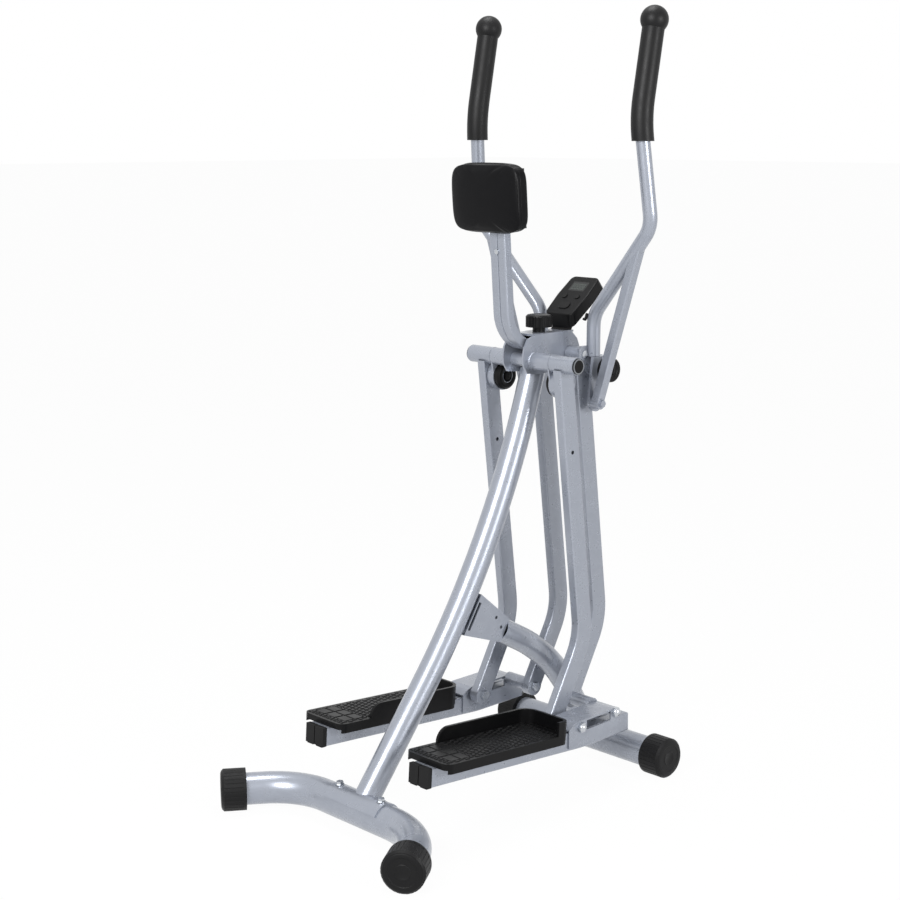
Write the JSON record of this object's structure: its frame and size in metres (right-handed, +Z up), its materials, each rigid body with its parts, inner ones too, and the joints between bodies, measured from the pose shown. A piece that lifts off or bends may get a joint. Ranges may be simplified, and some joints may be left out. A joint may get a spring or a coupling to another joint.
{
  "type": "air walker",
  "caption": "Free-standing air walker: swinging foot bars on parallel links with coupled bent handles, a back pad, a knob and a small console.",
  "frame": {"origin": "on the floor, in the middle of the machine's footprint", "axes": "+X towards the front, where a user standing on the pedals faces; +Y to the user's left; +Z up"},
  "size_m": [0.835, 0.5962, 1.5501],
  "materials": {
    "silver_paint": "satin silver powder coat",
    "zinc": "bright zinc plate",
    "cap_plastic": "fine moulded grain",
    "black_plastic": "satin",
    "display_window": "dark glossy window",
    "foam_grip": "closed-cell foam skin",
    "vinyl_pad": "grained vinyl",
    "black_rubber": "matt",
    "bush_plastic": "moulded",
    "pad_board": "black board"
  },
  "bodies": {
    "frame": {"rear_stabiliser": "silver_paint", "front_stabiliser": "silver_paint", "rear_caps": "cap_plastic", "front_caps": "cap_plastic", "rear_saddle": "silver_paint", "front_saddle": "silver_paint", "saddle_bolts": "zinc", "main_post": "silver_paint", "support_tube": "silver_paint", "post_bracket": "silver_paint", "left_cheek": "silver_paint", "right_cheek": "silver_paint", "top_plate": "silver_paint", "rear_axle": "zinc", "front_axle": "zinc", "left_bumper_arm": "silver_paint", "right_bumper_arm": "silver_paint", "left_bumper": "black_rubber", "right_bumper": "black_rubber", "post_liner": "black_plastic", "console_body": "black_plastic", "console_window": "display_window", "console_bracket": "black_plastic"},
    "pad_carrier": {"left_pad_post": "silver_paint", "right_pad_post": "silver_paint", "pad_backing": "pad_board", "pad": "vinyl_pad", "post_screw": "zinc"},
    "knob": {"knob": "black_plastic"},
    "mode_button": {"mode_button": "black_rubber"},
    "set_button": {"set_button": "black_rubber"},
    "reset_button": {"reset_button": "black_rubber"},
    "left_rear_link": {"left_rear_link": "silver_paint", "left_rear_bushes": "bush_plastic", "left_sleeve_plug": "black_plastic"},
    "left_front_link": {"left_front_link": "silver_paint", "left_handle_lever": "silver_paint", "left_lever_disc": "black_rubber", "left_handle": "silver_paint", "left_grip": "foam_grip", "left_brace": "silver_paint"},
    "left_foot": {"left_foot_bars": "silver_paint", "left_bar_plugs": "cap_plastic", "left_channel": "silver_paint", "left_pivot_bolts": "zinc", "left_pedal": "black_plastic"},
    "right_rear_link": {"right_rear_link": "silver_paint", "right_rear_bushes": "bush_plastic", "right_sleeve_plug": "black_plastic"},
    "right_front_link": {"right_front_link": "silver_paint", "right_handle_lever": "silver_paint", "right_lever_disc": "black_rubber", "right_handle": "silver_paint", "right_grip": "foam_grip", "right_brace": "silver_paint"},
    "right_foot": {"right_foot_bars": "silver_paint", "right_bar_plugs": "cap_plastic", "right_channel": "silver_paint", "right_pivot_bolts": "zinc", "right_pedal": "black_plastic"}
  },
  "joints": [
    {"name": "left_link_swing", "type": "hinge", "parent": "frame", "child": "left_rear_link", "pos_m": [0.175, 0.105, 0.868], "axis": [0, -1, 0], "range_deg": [-33, 33]},
    {"name": "left_handle_swing", "type": "hinge", "parent": "frame", "child": "left_front_link", "pos_m": [0.277, 0.054, 0.876], "axis": [0, -1, 0], "range_deg": [-33, 33]},
    {"name": "left_foot_level", "type": "hinge", "parent": "left_rear_link", "child": "left_foot", "pos_m": [0.159, 0.151, 0.15], "axis": [0, -1, 0], "range_deg": [-33, 33]},
    {"name": "right_link_swing", "type": "hinge", "parent": "frame", "child": "right_rear_link", "pos_m": [0.175, -0.105, 0.868], "axis": [0, -1, 0], "range_deg": [-33, 33]},
    {"name": "right_handle_swing", "type": "hinge", "parent": "frame", "child": "right_front_link", "pos_m": [0.277, -0.054, 0.876], "axis": [0, -1, 0], "range_deg": [-33, 33]},
    {"name": "right_foot_level", "type": "hinge", "parent": "right_rear_link", "child": "right_foot", "pos_m": [0.159, -0.151, 0.15], "axis": [0, -1, 0], "range_deg": [-33, 33]},
    {"name": "mode_button_press", "type": "slide", "parent": "frame", "child": "mode_button", "axis": [0.6361, 0, -0.7716], "range_m": [0, 0.0012], "stiffness_N_per_m": 500, "springref_m": -0.0005},
    {"name": "set_button_press", "type": "slide", "parent": "frame", "child": "set_button", "axis": [0.6361, 0, -0.7716], "range_m": [0, 0.0012], "stiffness_N_per_m": 500, "springref_m": -0.0005},
    {"name": "reset_button_press", "type": "slide", "parent": "frame", "child": "reset_button", "axis": [0.6361, 0, -0.7716], "range_m": [0, 0.0012], "stiffness_N_per_m": 500, "springref_m": -0.0005},
    {"name": "pad_slide", "type": "slide", "parent": "frame", "child": "pad_carrier", "axis": [1, 0, 0], "range_m": [-0.03, 0.01]},
    {"name": "knob_turn", "type": "hinge", "parent": "frame", "child": "knob", "pos_m": [0.217, 0, 0.931], "axis": [0, 0, 1], "range_deg": [0, 360]}
  ],
  "couplings": [
    {"joint": "left_handle_swing", "follows": "left_link_swing", "ratio": 1},
    {"joint": "left_foot_level", "follows": "left_link_swing", "ratio": -1},
    {"joint": "right_handle_swing", "follows": "right_link_swing", "ratio": 1},
    {"joint": "right_foot_level", "follows": "right_link_swing", "ratio": -1}
  ]
}
